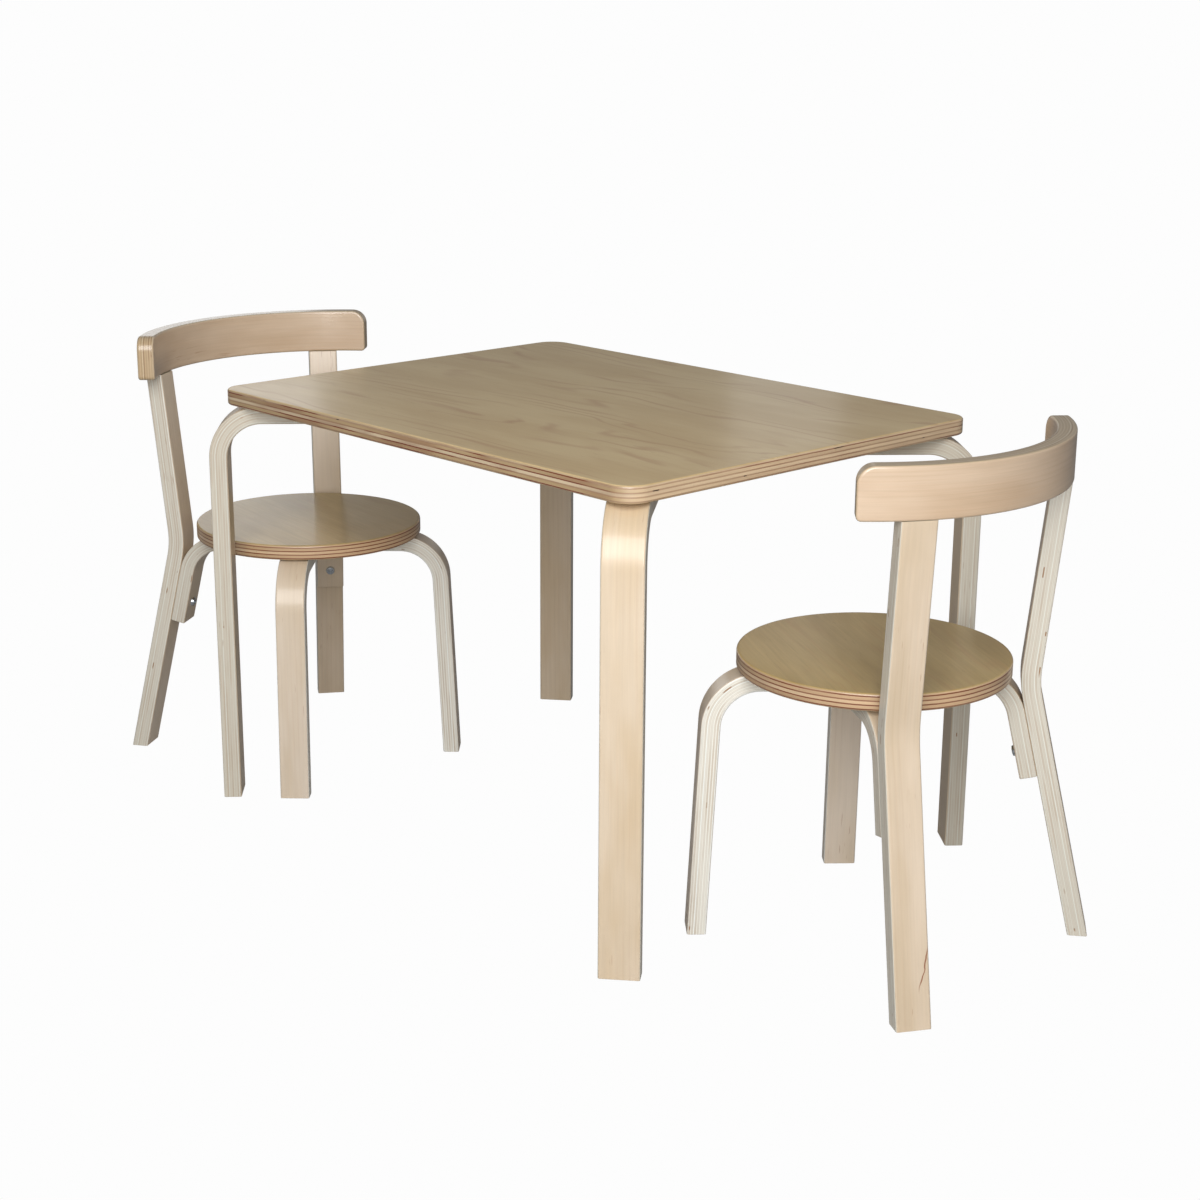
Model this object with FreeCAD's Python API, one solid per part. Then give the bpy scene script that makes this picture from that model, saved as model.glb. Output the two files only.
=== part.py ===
# Kids table with two matching chairs, in bent-laminated birch and birch plywood.
#
# The table is a rounded plywood board on four L-shaped bent legs, set cornerwise.
# Each chair is a round plywood seat on two bent front legs and two short bent brackets.
# A long cranked post is bolted to the outside of each bracket, runs from the floor to
# above the seat, and carries the curved backrest on two dowels.
#
# Millimetres, +Z up.  The origin is on the floor, at the middle of the whole set's footprint.
# +X runs along the table's long side, from the left chair to the right chair.

import FreeCAD
import Part
import math
import os

os.makedirs("parts", exist_ok=True)

Vector = FreeCAD.Vector
up = Vector(0, 0, 1)
across = Vector(0, 1, 0)
same = 0.001                    # lengths closer than this are taken as equal

# ---- table top ----
table_length = 690.0
table_width = 524.0
table_height = 500.0
table_board = 18.0              # thickness of the plywood
table_corner_radius = 27.0
board_edge_ease = 2.5           # rounding of the board's and the seats' edges

# ---- table legs ----
table_leg_width = 43.0
table_leg_thickness = 21.0
table_leg_inner_bend = 41.0     # radius on the inside of the bend
table_leg_tail = 190.0          # from the leg's outer face to the tail's end, under the board
table_leg_angle = 50.0          # turn of the leg's plane from the long side, degrees
table_leg_past_end = 4.5        # outer face of the leg, out past the board's short edge
table_leg_past_side = 11.0      # and out past its long edge
leg_edge_ease = 2.0             # rounding along the edges of every bent piece

# ---- table fasteners: bolts up through each tail, into inserts in the board ----
table_bolt_places = (85.0, 160.0)   # from the leg's outer face
bolt_radius = 3.0
bolt_hole_gap = 0.35            # clearance round a bolt's shank
bolt_head_radius = 6.0
bolt_head_height = 3.2
recess_width = 1.5              # cross recess in the bolt's head
recess_rim = 2.7                # head's metal left outside the recess's arms
recess_depth = 1.6
insert_radius = 4.75
insert_length = 11.0
insert_gap = 0.1                # clearance round an insert in its blind hole
insert_end_gap = 1.0            # air between an insert and the bottom of its hole

# ---- seat ----
seat_radius = 139.5
seat_height = 305.0
seat_board = 18.0

# ---- chair front legs ----
chair_member_width = 35.0
chair_member_thickness = 20.0
chair_inner_bend = 40.0
front_leg_angle = 45.0          # turn of each front leg's plane from straight ahead, degrees
front_leg_foot_out = 47.0       # outer face at the floor, out past the seat's rim
front_leg_splay = 2.6           # lean of the leg, degrees
front_leg_tail_start = 24.0     # tail's end, from the seat's centre
front_screw_places = (46.0, 98.0)   # from the seat's centre

# ---- chair rear posts ----
post_angle = 33.6               # turn of each post's plane from straight back, degrees
post_offset = 33.0              # post's plane, sideways from the seat's centre
post_width = 36.0
post_foot_out = 94.0            # outer face at the floor, out past the seat's rim
post_waist_out = 28.5           # outer face at the waist, out past the seat's rim
post_waist_below_seat = 30.0    # waist, below the seat's top
post_waist_bend = 100.0         # radius of the outer face at the waist

# ---- chair brackets, under the seat's rear edge ----
bracket_thickness = 18.0
bracket_drop = 113.0            # lower end's outer corner, below the seat's underside
bracket_tail_start = 34.0       # tail's end, along the post's plane
bracket_screw_places = (48.0, 80.0)
bracket_bolt_up = 26.0          # bolt, above the bracket's lower end
bracket_dowel_up = 54.0         # locating dowel, above the bracket's lower end

# ---- backrest ----
backrest_thickness = 20.0
backrest_height = 52.0
backrest_above_seat = 183.0     # lower edge, above the seat's top
backrest_outer_radius = 230.0
backrest_centre_forward = 50.0  # centre of its curve, ahead of the seat's centre
backrest_half_angle = 50.0      # degrees
backrest_upper_corner = 17.0
backrest_lower_corner = 5.0
backrest_edge_ease = 2.5
backrest_overhang = 1.0         # past the post's outer face, at the joint
corner_margin = 5.0             # how far the tool that rounds a corner reaches past the wood

# ---- dowels ----
dowel_radius = 4.0
dowel_gap = 0.1                 # clearance round a dowel
dowel_end_gap = 1.0             # air at each end of a dowel in its hole
top_dowel_length = 30.0
top_dowel_spread = 17.0         # between the two dowels of one post
bracket_dowel_length = 22.0

# ---- wood screws, up through the chair's tails into the seat ----
screw_radius = 2.0
screw_hole_gap = 0.2
screw_head_radius = 4.0
screw_head_height = 2.4
screw_head_sink = 0.4           # below the tail's face
screw_bite = 11.0               # length in the seat
screw_tip_gap = 1.0
screw_tip = 3.0                 # length of the pointed end
screw_tip_radius = 0.5

# ---- where the chairs stand ----
left_chair_out = 61.5           # seat's centre, out past the board's short edge
left_chair_leg_gap = 4.5        # between the left chair's front leg and the table leg, sideways
left_chair_turn = 1.2           # degrees
right_chair_out = 85.0
right_chair_sideways = 4.5
right_chair_turn = 4.0


# ---- bent strips: outlines in the plane of the bend, u outwards and z up ----

def flat(u, z):
    return Vector(u, 0, z)


def right_of(direction):
    return Vector(direction.z, 0, -direction.x)


def direction_between(start, end):
    return (end - start).normalize()


def end_point(point, direction, depth, cut):
    # The far face's end: square to the strip, or level with the floor.
    moved = point + right_of(direction) * depth
    if cut == "level":
        moved = moved + direction * ((point.z - moved.z) / direction.z)
    return moved


def bend_side(points, corner):
    # 1 where the strip turns to the right, towards its far face; otherwise -1.
    before = direction_between(points[corner - 1], points[corner])
    after = direction_between(points[corner], points[corner + 1])
    return 1 if after.dot(right_of(before)) > 0 else -1


def far_face(points, depth, first_cut, last_cut):
    moved = [end_point(points[0], direction_between(points[0], points[1]), depth, first_cut)]
    for corner in range(1, len(points) - 1):
        before = right_of(direction_between(points[corner - 1], points[corner]))
        after = right_of(direction_between(points[corner], points[corner + 1]))
        moved.append(points[corner] + (before + after) * (depth / (1 + before.dot(after))))
    moved.append(end_point(points[-1], direction_between(points[-2], points[-1]), depth, last_cut))
    return moved


def rounded_edges(points, radii):
    # Straight runs joined by tangent arcs, one radius to each inner corner.
    edges = []
    start = points[0]
    for corner, radius in enumerate(radii, 1):
        before = direction_between(points[corner - 1], points[corner])
        after = direction_between(points[corner], points[corner + 1])
        half_turn = before.getAngle(after) / 2
        reach = radius * math.tan(half_turn)
        inward = (after - before).normalize()
        arc_start = points[corner] - before * reach
        arc_middle = points[corner] + inward * (radius / math.cos(half_turn) - radius)
        arc_end = points[corner] + after * reach
        edges.append(Part.LineSegment(start, arc_start).toShape())
        edges.append(Part.Arc(arc_start, arc_middle, arc_end).toShape())
        start = arc_end
    edges.append(Part.LineSegment(start, points[-1]).toShape())
    return edges


def bent_strip(points, inner_radius, thickness, width, first_cut="square", last_cut="square"):
    # points follow one face; the wood lies to their right, travelling along them.
    far_points = far_face(points, thickness, first_cut, last_cut)
    near_radii = []
    far_radii = []
    for corner in range(1, len(points) - 1):
        turns_in = bend_side(points, corner) > 0
        near_radii.append(inner_radius + (thickness if turns_in else 0))
        far_radii.append(inner_radius + (0 if turns_in else thickness))
    edges = rounded_edges(points, near_radii) + rounded_edges(far_points, far_radii)
    edges.append(Part.LineSegment(points[0], far_points[0]).toShape())
    edges.append(Part.LineSegment(points[-1], far_points[-1]).toShape())
    outline = Part.Wire(Part.__sortEdges__(edges))
    side = Part.Face(outline)
    side.translate(across * (-width / 2))
    strip = side.extrude(across * width)
    return ease_sides(strip, width / 2, leg_edge_ease)


def ease_sides(strip, half_width, radius):
    # Rounds every edge of the strip's two side faces.
    chosen = []
    for edge in strip.Edges:
        if all(abs(abs(vertex.Point.y) - half_width) < same for vertex in edge.Vertexes):
            if abs(edge.Vertexes[0].Point.y - edge.Vertexes[-1].Point.y) < same:
                chosen.append(edge)
    return strip.makeFillet(radius, chosen)


# ---- small round parts ----

def rod(radius, length, start, direction):
    return Part.makeCylinder(radius, length, start, direction)


def bolt(start, direction, length):
    # Domed head under a cross recess; start is on the face that the head bears on.
    sphere_radius = (bolt_head_radius ** 2 + bolt_head_height ** 2) / (2 * bolt_head_height)
    sphere_centre = Vector(0, 0, sphere_radius - bolt_head_height)
    head = Part.makeSphere(sphere_radius, sphere_centre)
    head = head.common(rod(bolt_head_radius, bolt_head_height, Vector(0, 0, -bolt_head_height), up))
    arm = 2 * (bolt_head_radius - recess_rim)
    for size in ((arm, recess_width), (recess_width, arm)):
        slot = Part.makeBox(size[0], size[1], recess_depth,
                            Vector(-size[0] / 2, -size[1] / 2, -bolt_head_height))
        head = head.cut(slot)
    shape = head.fuse(rod(bolt_radius, length, Vector(0, 0, 0), up)).removeSplitter()
    return pointed(shape, start, direction)


def pointed(shape, start, direction):
    # Turns a part made along +Z so that it runs along direction from start.
    shape.Placement = FreeCAD.Placement(start, FreeCAD.Rotation(up, direction))
    return shape


def bolt_hole(start, direction, length):
    return rod(bolt_radius + bolt_hole_gap, length, start, direction)


def insert(start, direction):
    # Threaded bush, open at its near end, closed round the bolt with a clearance.
    shell = rod(insert_radius, insert_length, start, direction)
    bore = rod(bolt_radius + bolt_hole_gap, insert_length, start, direction)
    return shell.cut(bore)


def insert_hole(start, direction):
    return rod(insert_radius + insert_gap, insert_length + insert_end_gap, start, direction)


def screw(start, length):
    # Countersunk wood screw, standing on its head; start is the middle of the head's face.
    head = Part.makeCone(screw_head_radius, screw_radius, screw_head_height, start, up)
    shank = rod(screw_radius, length - screw_tip, start, up)
    tip = Part.makeCone(screw_radius, screw_tip_radius, screw_tip,
                        start + up * (length - screw_tip), up)
    return head.fuse([shank, tip]).removeSplitter()


def screw_hole(face_point, length):
    # Clearance for the shank, with a countersink that sinks the head below the face.
    sink = Part.makeCone(screw_head_radius + screw_hole_gap, screw_radius + screw_hole_gap,
                         screw_head_height, face_point + up * screw_head_sink, up)
    mouth = rod(screw_head_radius + screw_hole_gap, screw_head_sink, face_point, up)
    shank = rod(screw_radius + screw_hole_gap, length + screw_tip_gap, face_point, up)
    return sink.fuse([mouth, shank])


def dowel_hole(middle, direction, length):
    full = length + 2 * dowel_end_gap
    return rod(dowel_radius + dowel_gap, full, middle - direction * (full / 2), direction)


def dowel(middle, direction, length):
    return rod(dowel_radius, length, middle - direction * (length / 2), direction)


# ---- boards ----

def ease_rims(board, heights, radius):
    # Rounds every edge that lies in one of the given levels.
    chosen = []
    for edge in board.Edges:
        box = edge.BoundBox
        if any(abs(box.ZMin - z) < same and abs(box.ZMax - z) < same for z in heights):
            chosen.append(edge)
    return board.makeFillet(radius, chosen)


def rounded_board():
    half_length = table_length / 2
    half_width = table_width / 2
    underside = table_height - table_board
    board = Part.makeBox(table_length, table_width, table_board,
                         Vector(-half_length, -half_width, underside))
    corners = [edge for edge in board.Edges if edge.BoundBox.ZLength > table_board / 2]
    board = board.makeFillet(table_corner_radius, corners)
    return ease_rims(board, (underside, table_height), board_edge_ease)


def placed(shape, turn, place):
    moved = shape.copy()
    moved.rotate(Vector(0, 0, 0), up, turn)
    moved.translate(place)
    return moved


# ---- table ----

def make_table():
    underside = table_height - table_board
    board = rounded_board()
    leg_shape = bent_strip(
        [flat(-table_leg_tail, underside), flat(0, underside), flat(0, 0)],
        table_leg_inner_bend, table_leg_thickness, table_leg_width, "square", "level")
    bolts = []
    inserts = []
    nodes = {}
    for across_name, side_y in (("front", -1), ("back", 1)):
        for along_name, side_x in (("left", -1), ("right", 1)):
            slope = math.radians(table_leg_angle)
            outward = Vector(side_x * math.cos(slope), side_y * math.sin(slope), 0)
            turn = math.degrees(math.atan2(outward.y, outward.x))
            foot = Vector(side_x * (table_length / 2 + table_leg_past_end),
                          side_y * (table_width / 2 + table_leg_past_side), 0)
            leg = placed(leg_shape, turn, foot)
            for back in table_bolt_places:
                above = foot - outward * back + up * underside
                below = above - up * table_leg_thickness
                leg = leg.cut(bolt_hole(below, up, table_leg_thickness))
                board = board.cut(insert_hole(above, up))
                bolts.append(bolt(below, up, table_leg_thickness + insert_length))
                inserts.append(insert(above, up))
            nodes[f"table_leg_{across_name}_{along_name}"] = leg
    nodes["table_top"] = board
    nodes["table_leg_bolts"] = Part.makeCompound(bolts)
    nodes["table_top_inserts"] = Part.makeCompound(inserts)
    return nodes


# ---- chair, facing +X, with the seat's centre over the origin ----

def leg_plane(angle, side):
    # Outward and sideways directions of one leg's plane, sideways being away from the middle.
    slope = math.radians(angle)
    outward = Vector(math.cos(slope), side * math.sin(slope), 0)
    sideways = Vector(math.sin(slope), -side * math.cos(slope), 0)
    if sideways.y * side < 0:
        sideways = sideways * -1
    return outward, sideways


def front_leg(underside):
    foot = seat_radius + front_leg_foot_out
    shoulder = foot - underside * math.tan(math.radians(front_leg_splay))
    return bent_strip(
        [flat(front_leg_tail_start, underside), flat(shoulder, underside), flat(foot, 0)],
        chair_inner_bend, chair_member_thickness, chair_member_width, "square", "level")


def post_top_reach(outward, offset):
    # Where the post's plane meets the circle that its outer face reaches under the backrest.
    centre = Vector(backrest_centre_forward, 0, 0)
    from_centre = offset - centre
    along = from_centre.dot(outward)
    target = backrest_outer_radius - backrest_overhang
    return -along + math.sqrt(along ** 2 - from_centre.dot(from_centre) + target ** 2)


def post_points(outward, offset):
    # Outer face of the post, from the backrest down to the floor.
    return [flat(post_top_reach(outward, offset), seat_height + backrest_above_seat),
            flat(seat_radius + post_waist_out, seat_height - post_waist_below_seat),
            flat(seat_radius + post_foot_out, 0)]


def post_lower_run(points):
    # Inner face of the post's lower run: its direction downwards, and its point at the floor.
    downwards = direction_between(points[1], points[2])
    return downwards, end_point(points[2], downwards, chair_member_thickness, "level")


def bracket_points(points, underside):
    # Outer face of the bracket: under the seat, then down the post's inner face.
    downwards, floor_point = post_lower_run(points)
    shoulder = floor_point - downwards * (underside / -downwards.z)
    lower_end = shoulder + downwards * (bracket_drop / -downwards.z)
    return [flat(bracket_tail_start, underside), shoulder, lower_end]


def make_backrest(lower_edge):
    inner_radius = backrest_outer_radius - backrest_thickness
    sweep = 2 * backrest_half_angle
    band = Part.makeCylinder(backrest_outer_radius, backrest_height, Vector(0, 0, 0), up, sweep)
    band = band.cut(Part.makeCylinder(inner_radius, backrest_height))
    band.rotate(Vector(0, 0, 0), up, -backrest_half_angle)
    for side in (1, -1):
        band = band.cut(corner_waste(side, backrest_height, up * -1, backrest_upper_corner))
        band = band.cut(corner_waste(side, 0, up, backrest_lower_corner))
    band = ease_faces(band, inner_radius)
    band.rotate(Vector(0, 0, 0), up, 180)
    band.translate(Vector(backrest_centre_forward, 0, lower_edge))
    return band


def corner_waste(side, level, inwards, radius):
    # What is cut from one corner of the band's end, to leave it round.
    slope = math.radians(backrest_half_angle)
    outward = Vector(math.cos(slope), side * math.sin(slope), 0)
    along = Vector(math.sin(slope), -side * math.cos(slope), 0)
    start = outward * (backrest_outer_radius - backrest_thickness - corner_margin) + up * level
    length = backrest_thickness + 2 * corner_margin
    low = start - (along + inwards) * corner_margin
    side_length = radius + corner_margin
    rim = [low, low + along * side_length, low + (along + inwards) * side_length,
           low + inwards * side_length, low]
    block = Part.Face(Part.makePolygon(rim)).extrude(outward * length)
    return block.cut(rod(radius, length, start + (along + inwards) * radius, outward))


def ease_faces(band, inner_radius):
    # Rounds every edge of the band's inner and outer faces.
    chosen = {}
    for face in band.Faces:
        if face.Surface.TypeId == "Part::GeomCylinder" and face.Surface.Radius > inner_radius - same:
            for edge in face.Edges:
                chosen[edge.hashCode()] = edge
    return band.makeFillet(backrest_edge_ease, list(chosen.values()))


def make_chair():
    underside = seat_height - seat_board
    lower_edge = seat_height + backrest_above_seat
    seat = Part.makeCylinder(seat_radius, seat_board, Vector(0, 0, underside))
    seat = ease_rims(seat, (underside, seat_height), board_edge_ease)
    backrest = make_backrest(lower_edge)
    screws = []
    bolts = []
    inserts = []
    bracket_dowels = []
    top_dowels = []
    nodes = {}

    front_shape = front_leg(underside)
    for name, side in (("left", 1), ("right", -1)):
        outward, _ = leg_plane(front_leg_angle, side)
        leg = placed(front_shape, side * front_leg_angle, Vector(0, 0, 0))
        for reach in front_screw_places:
            face_point = outward * reach + up * (underside - chair_member_thickness)
            length = chair_member_thickness - screw_head_sink + screw_bite
            hole = screw_hole(face_point, length + screw_head_sink)
            leg = leg.cut(hole)
            seat = seat.cut(hole)
            screws.append(screw(face_point + up * screw_head_sink, length))
        nodes[f"front_{name}_leg"] = leg

    for name, side in (("left", 1), ("right", -1)):
        rear_angle = 180 - post_angle
        outward, sideways = leg_plane(rear_angle, side)
        offset = sideways * post_offset
        outer_face = post_points(outward, offset)
        post = bent_strip(outer_face, post_waist_bend, chair_member_thickness, post_width,
                          "level", "level")
        bracket_face = bracket_points(outer_face, underside)
        bracket = bent_strip(bracket_face, chair_inner_bend, bracket_thickness,
                             chair_member_width)
        post = placed(post, side * rear_angle, offset)
        bracket = placed(bracket, side * rear_angle, offset)

        for reach in bracket_screw_places:
            face_point = offset + outward * reach + up * (underside - bracket_thickness)
            length = bracket_thickness - screw_head_sink + screw_bite
            hole = screw_hole(face_point, length + screw_head_sink)
            bracket = bracket.cut(hole)
            seat = seat.cut(hole)
            screws.append(screw(face_point + up * screw_head_sink, length))

        downwards = direction_between(bracket_face[1], bracket_face[2])
        run_down = outward * downwards.x + up * downwards.z
        through = outward * -downwards.z + up * downwards.x
        lower_end = offset + outward * bracket_face[2].x + up * bracket_face[2].z
        joint = lower_end - run_down * bracket_bolt_up
        head_seat = joint - through * bracket_thickness
        bracket = bracket.cut(bolt_hole(head_seat, through, bracket_thickness))
        post = post.cut(insert_hole(joint, through))
        bolts.append(bolt(head_seat, through, bracket_thickness + insert_length))
        inserts.append(insert(joint, through))

        peg = lower_end - run_down * bracket_dowel_up
        peg_hole = dowel_hole(peg, through, bracket_dowel_length)
        bracket = bracket.cut(peg_hole)
        post = post.cut(peg_hole)
        bracket_dowels.append(dowel(peg, through, bracket_dowel_length))

        lean = direction_between(outer_face[0], outer_face[1])
        top_inner = end_point(outer_face[0], lean, chair_member_thickness, "level")
        top_middle = (outer_face[0].x + top_inner.x) / 2
        centre_line = offset + outward * top_middle + up * lower_edge
        for shift in (-top_dowel_spread / 2, top_dowel_spread / 2):
            middle = centre_line + sideways * shift
            hole = dowel_hole(middle, up, top_dowel_length)
            post = post.cut(hole)
            backrest = backrest.cut(hole)
            top_dowels.append(dowel(middle, up, top_dowel_length))
        nodes[f"{name}_post"] = post
        nodes[f"{name}_bracket"] = bracket

    nodes["seat"] = seat
    nodes["backrest"] = backrest
    nodes["seat_screws"] = Part.makeCompound(screws)
    nodes["post_bolts"] = Part.makeCompound(bolts)
    nodes["post_inserts"] = Part.makeCompound(inserts)
    nodes["bracket_dowels"] = Part.makeCompound(bracket_dowels)
    nodes["backrest_dowels"] = Part.makeCompound(top_dowels)
    return nodes


# ---- the set ----

def left_chair_sideways():
    # Beside the front left table leg: its inner corner, less the chair's leg and a gap.
    slope = math.radians(table_leg_angle)
    leg_inner = (table_width / 2 + table_leg_past_side - table_leg_thickness * math.sin(slope)
                 - table_leg_width / 2 * math.cos(slope))
    spread = math.radians(front_leg_angle)
    foot = seat_radius + front_leg_foot_out
    corner_x = foot * math.cos(spread) - chair_member_width / 2 * math.sin(spread)
    corner_y = foot * math.sin(spread) + chair_member_width / 2 * math.cos(spread)
    turn = math.radians(left_chair_turn)
    reach = corner_y * math.cos(turn) - corner_x * math.sin(turn)
    return -(leg_inner - left_chair_leg_gap - reach)


def footprint_middle(shapes):
    boxes = [shape.optimalBoundingBox(False, False) for shape in shapes]
    low_x = min(box.XMin for box in boxes)
    high_x = max(box.XMax for box in boxes)
    low_y = min(box.YMin for box in boxes)
    high_y = max(box.YMax for box in boxes)
    return Vector((low_x + high_x) / 2, (low_y + high_y) / 2, 0)


def make_set():
    nodes = make_table()
    chair = make_chair()
    left_place = Vector(-(table_length / 2 + left_chair_out), left_chair_sideways(), 0)
    right_place = Vector(table_length / 2 + right_chair_out, right_chair_sideways, 0)
    for name, turn, place in (("left_chair", left_chair_turn, left_place),
                              ("right_chair", 180 + right_chair_turn, right_place)):
        for piece, shape in chair.items():
            nodes[f"{name}_{piece}"] = placed(shape, turn, place)
    return nodes, left_place, right_place


nodes, left_place, right_place = make_set()
middle = footprint_middle(nodes.values())
for node, shape in nodes.items():
    shape.translate(middle * -1)
    shape.exportStep(f"parts/{node}.step")
    print(f"{node}: {len(shape.Solids)} solids, {shape.Volume / 1000:.1f} cm3, valid {shape.isValid()}")
print("table centre", -middle.x, -middle.y)
print("left seat centre", (left_place - middle).x, (left_place - middle).y)
print("right seat centre", (right_place - middle).x, (right_place - middle).y)
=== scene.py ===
from math import atan2, ceil, copysign, cos, degrees, pi, radians, sin, sqrt, tan, tau

import bmesh
import bpy
from mathutils import Matrix, Vector


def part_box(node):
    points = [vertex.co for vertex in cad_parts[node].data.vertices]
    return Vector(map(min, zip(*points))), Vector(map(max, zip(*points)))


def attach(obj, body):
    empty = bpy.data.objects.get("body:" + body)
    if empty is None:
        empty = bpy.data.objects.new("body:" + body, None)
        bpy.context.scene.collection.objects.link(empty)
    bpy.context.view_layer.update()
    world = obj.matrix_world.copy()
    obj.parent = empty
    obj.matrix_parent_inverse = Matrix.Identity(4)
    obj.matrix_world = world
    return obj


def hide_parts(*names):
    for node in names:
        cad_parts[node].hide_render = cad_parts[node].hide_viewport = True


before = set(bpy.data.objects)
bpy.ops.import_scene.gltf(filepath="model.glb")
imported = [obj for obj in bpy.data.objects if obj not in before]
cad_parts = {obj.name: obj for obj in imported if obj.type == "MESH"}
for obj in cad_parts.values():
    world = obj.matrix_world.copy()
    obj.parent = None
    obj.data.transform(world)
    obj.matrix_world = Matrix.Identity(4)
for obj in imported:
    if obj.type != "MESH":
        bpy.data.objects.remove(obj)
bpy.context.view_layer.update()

# Kids table with two chairs in bent birch and birch plywood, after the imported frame.
# Metres, Z up. Each piece is built where it stands, so its object stays at the origin.


# every wooden mesh carries two attributes:
#   woodPlace  metres along the grain, across it, and down through the layers, as if it lay flat
#   woodCut    1 where layers show on an edge, 1 where the end is cut, and the piece's own number
layout = {
    "roundSteps": 4,        # faces round an eased edge
    "hold": 0.0005,         # narrow band beside an easing that keeps the flat face flat
    "degreesPerStep": 3.0,  # along a bend
    "leastRadius": 0.0001,
    "grainStep": 1.7,       # metres of grain between one piece's figure and the next
}


def addObject(name, data):
    piece = bpy.data.objects.new(name, data)
    bpy.context.scene.collection.objects.link(piece)
    return piece


def meshPiece(name, positions, places, cuts, faces, turn=None):
    shape = bmesh.new()
    placeLayer = shape.verts.layers.float_vector.new("woodPlace")
    cutLayer = shape.verts.layers.float_vector.new("woodCut")
    for position, place, cut in zip(positions, places, cuts):
        vert = shape.verts.new(position)
        vert[placeLayer] = place
        vert[cutLayer] = cut
    shape.verts.ensure_lookup_table()
    for face in faces:
        shape.faces.new([shape.verts[i] for i in face]).smooth = True
    if turn is not None:
        bmesh.ops.transform(shape, matrix=turn, verts=shape.verts)
    bmesh.ops.recalc_face_normals(shape, faces=shape.faces)
    mesh = bpy.data.meshes.new(name)
    shape.to_mesh(mesh)
    shape.free()
    return addObject(name, mesh)


def ringFaces(rings, count):
    # quads between one ring of points and the next
    faces = []
    for ring in range(rings - 1):
        for i in range(count):
            j = (i + 1) % count
            faces.append((ring * count + i, ring * count + j,
                          (ring + 1) * count + j, (ring + 1) * count + i))
    return faces


def easingSteps(ease):
    # (inset, drop, share) over a rounded edge, from the face round to the side
    steps = [(ease + layout["hold"], 0.0, 0.0)]
    for k in range(layout["roundSteps"] + 1):
        angle = pi / 2 * k / layout["roundSteps"]
        steps.append((ease * (1 - sin(angle)), ease * (1 - cos(angle)), sin(angle) ** 2))
    return steps


# bent strips: u runs outwards, z up, and the wood lies to the right of the path

def rightOf(direction):
    return Vector((direction.y, -direction.x))


def pathStations(corners, radii):
    # (point, direction, distance) down one face: straight runs joined by tangent arcs
    here = corners[0]
    travelled = 0.0
    stations = [(here, (corners[1] - here).normalized(), travelled)]
    for i, radius in enumerate(radii, 1):
        before = (corners[i] - corners[i - 1]).normalized()
        after = (corners[i + 1] - corners[i]).normalized()
        turn = before.angle(after)
        towards = rightOf(before) * (1 if rightOf(before).dot(after) > 0 else -1)
        arcStart = corners[i] - before * (radius * tan(turn / 2))
        centre = arcStart + towards * radius
        travelled += (arcStart - here).length
        steps = max(2, ceil(degrees(turn) / layout["degreesPerStep"]))
        for k in range(steps + 1):
            angle = turn * k / steps
            direction = before * cos(angle) + towards * sin(angle)
            here = centre - towards * (radius * cos(angle)) + before * (radius * sin(angle))
            stations.append((here, direction, travelled + radius * angle))
        travelled += radius * turn
    last = corners[-1]
    stations.append((last, (last - here).normalized(), travelled + (last - here).length))
    return stations


def heldPoint(point, edge):
    # beside an easing, a little way into the flat: of the side if edge is 1, else of the face
    depth, across = point[:2]
    if edge:
        return depth - copysign(layout["hold"], depth), across, edge
    return depth, across - copysign(layout["hold"], across), edge


def sectionPoints(thickness, width, ease, inset):
    # (depth, across, edge) round a strip's section, eased at its four corners
    radius = max(ease - inset, layout["leastRadius"])
    reachDepth = thickness / 2 - inset - radius
    reachAcross = width / 2 - inset - radius
    points = []
    for quarter, (signDepth, signAcross) in enumerate(((1, 1), (-1, 1), (-1, -1), (1, -1))):
        arc = []
        for k in range(layout["roundSteps"] + 1):
            angle = pi / 2 * (quarter + k / layout["roundSteps"])
            arc.append((signDepth * reachDepth + radius * cos(angle),
                        signAcross * reachAcross + radius * sin(angle), sin(angle) ** 2))
        firstEdge = quarter % 2
        points += [heldPoint(arc[0], firstEdge)] + arc + [heldPoint(arc[-1], 1 - firstEdge)]
    return [(thickness / 2 + depth, across, edge) for depth, across, edge in points]


def bentStrip(name, corners, radii, size, cuts, number, turn):
    # cuts say how each end is sawn: "square" to the strip or "level" with the floor
    stations = pathStations(corners, radii)
    thickness, width, ease, endEase = size["thickness"], size["width"], size["ease"], size["endEase"]
    positions, places, marks = [], [], []

    def addRing(station, inset, back, cut, endShare):
        point, direction, distance = station
        normal = rightOf(direction)
        for depth, across, edge in sectionPoints(thickness, width, ease, inset):
            spot = point + normal * depth
            slide = back
            if cut == "level":
                slide = (point.y - spot.y) / direction.y + back
            spot = spot + direction * slide
            positions.append(Vector((spot.x, across, spot.y)))
            places.append(Vector((distance + slide + number * layout["grainStep"], across, depth)))
            marks.append(Vector((edge, endShare, number)))

    steps = easingSteps(endEase)
    for inset, back, share in steps:
        addRing(stations[0], inset, back, cuts[0], 1 - share)
    for station in stations[1:-1]:
        addRing(station, 0.0, 0.0, "along", 0.0)
    for inset, back, share in reversed(steps):
        addRing(stations[-1], inset, -back, cuts[1], 1 - share)
    count = len(sectionPoints(thickness, width, ease, 0.0))
    rings = len(positions) // count
    faces = ringFaces(rings, count)
    faces.append(tuple(range(count)))
    faces.append(tuple(range((rings - 1) * count, rings * count)))
    return meshPiece(name, positions, places, marks, faces, turn)


# boards and the backrest: an outline with outward normals, eased on both faces

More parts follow.
